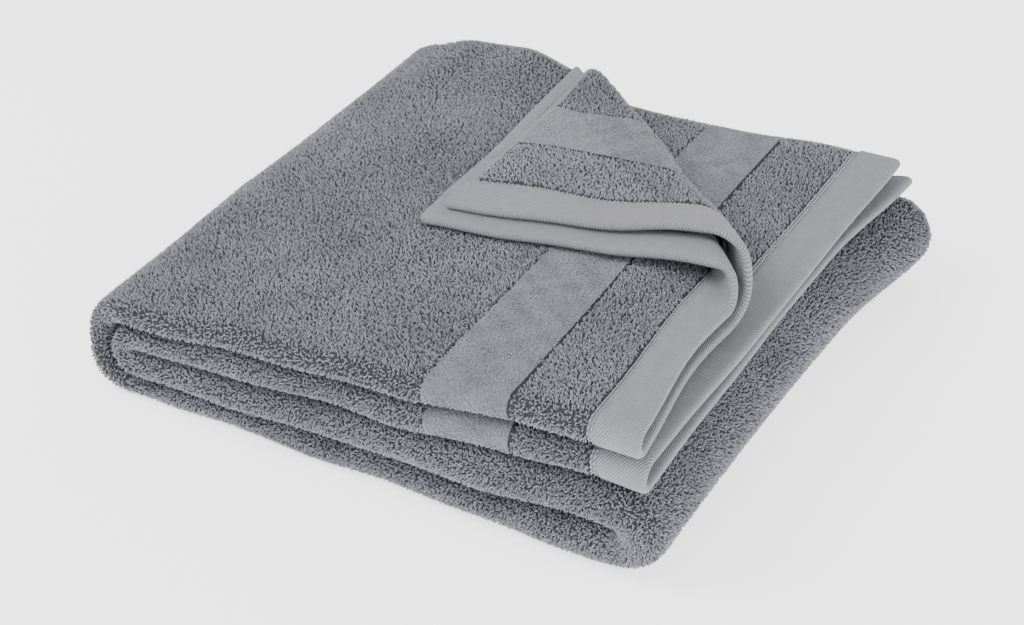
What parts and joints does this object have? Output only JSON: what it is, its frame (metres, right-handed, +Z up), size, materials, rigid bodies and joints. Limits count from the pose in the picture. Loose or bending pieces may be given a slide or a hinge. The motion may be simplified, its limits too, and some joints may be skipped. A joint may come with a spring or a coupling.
{
  "type": "folded bath towel",
  "caption": "Thick grey terry bath towel, folded into a flat stack with one corner of the top layer turned back to show the woven end hem and the sheared band.",
  "frame": {"origin": "on the ground under the middle of the folded towel's bounding box", "axes": "+Z up; +X towards the two woven end hems, -X towards the fold that the top and bottom layers share; -Y towards the lengthwise fold, +Y towards the free long edges"},
  "size_m": [0.3664, 0.3402, 0.1177],
  "materials": {
    "loop_pile": "thick looped cotton pile, matt, mid grey with a slight violet cast",
    "sheared_pile": "smooth sheared cotton pile, matt, mid grey",
    "flat_weave": "flat cotton weave, matt, light mid grey",
    "thread": "cotton sewing thread, light mid grey"
  },
  "bodies": {
    "folded_stack": {"bottom_leaf_pile": "loop_pile", "bottom_leaf_side_hem_inner_ply": "flat_weave", "bottom_leaf_side_hem_outer_ply": "flat_weave", "inner_fold_pile": "loop_pile", "inner_fold_side_hem_inner_ply": "flat_weave", "inner_fold_side_hem_outer_ply": "flat_weave", "outer_fold_lower_half_pile": "loop_pile", "outer_fold_lower_half_side_hem_inner_ply": "flat_weave", "outer_fold_lower_half_side_hem_outer_ply": "flat_weave", "right_fold_pile": "loop_pile", "right_fold_side_hem_inner_ply": "flat_weave", "right_fold_side_hem_outer_ply": "flat_weave", "second_leaf_border_pile": "loop_pile", "second_leaf_end_hem": "flat_weave", "second_leaf_end_hem_thread": "thread", "second_leaf_field_pile": "loop_pile", "second_leaf_sheared_band": "sheared_pile", "second_leaf_side_hem_inner_ply": "flat_weave", "second_leaf_side_hem_outer_ply": "flat_weave", "third_leaf_pile": "loop_pile", "third_leaf_side_hem_inner_ply": "flat_weave", "third_leaf_side_hem_outer_ply": "flat_weave"},
    "top_leaf": {"outer_fold_upper_half_pile": "loop_pile", "outer_fold_upper_half_side_hem_inner_ply": "flat_weave", "outer_fold_upper_half_side_hem_outer_ply": "flat_weave", "top_leaf_border_pile": "loop_pile", "top_leaf_end_hem": "flat_weave", "top_leaf_end_hem_thread": "thread", "top_leaf_field_pile": "loop_pile", "top_leaf_sheared_band": "sheared_pile", "top_leaf_side_hem_inner_ply": "flat_weave", "top_leaf_side_hem_outer_ply": "flat_weave"},
    "turned_corner": {"corner_border_pile_inner_ply": "loop_pile", "corner_border_pile_outer_ply": "loop_pile", "corner_end_hem_inner_ply": "flat_weave", "corner_end_hem_outer_ply": "flat_weave", "corner_end_hem_thread_inner_ply": "thread", "corner_end_hem_thread_outer_ply": "thread", "corner_field_pile_inner_ply": "loop_pile", "corner_field_pile_outer_ply": "loop_pile", "corner_sheared_band_inner_ply": "sheared_pile", "corner_sheared_band_outer_ply": "sheared_pile", "corner_side_hem_inner_ply": "flat_weave", "corner_side_hem_outer_ply": "flat_weave"}
  },
  "joints": [
    {"name": "top_leaf_opens", "type": "hinge", "parent": "folded_stack", "child": "top_leaf", "pos_m": [-0.18307, 0.00002, 0.03465], "axis": [0.0015, -0.9999, -0.0154], "range_deg": [0, 150]},
    {"name": "corner_unfolds", "type": "hinge", "parent": "top_leaf", "child": "turned_corner", "pos_m": [0.05804, 0.06184, 0.09408], "axis": [-0.7055, 0.7055, -0.0667], "range_deg": [0, 170]}
  ]
}
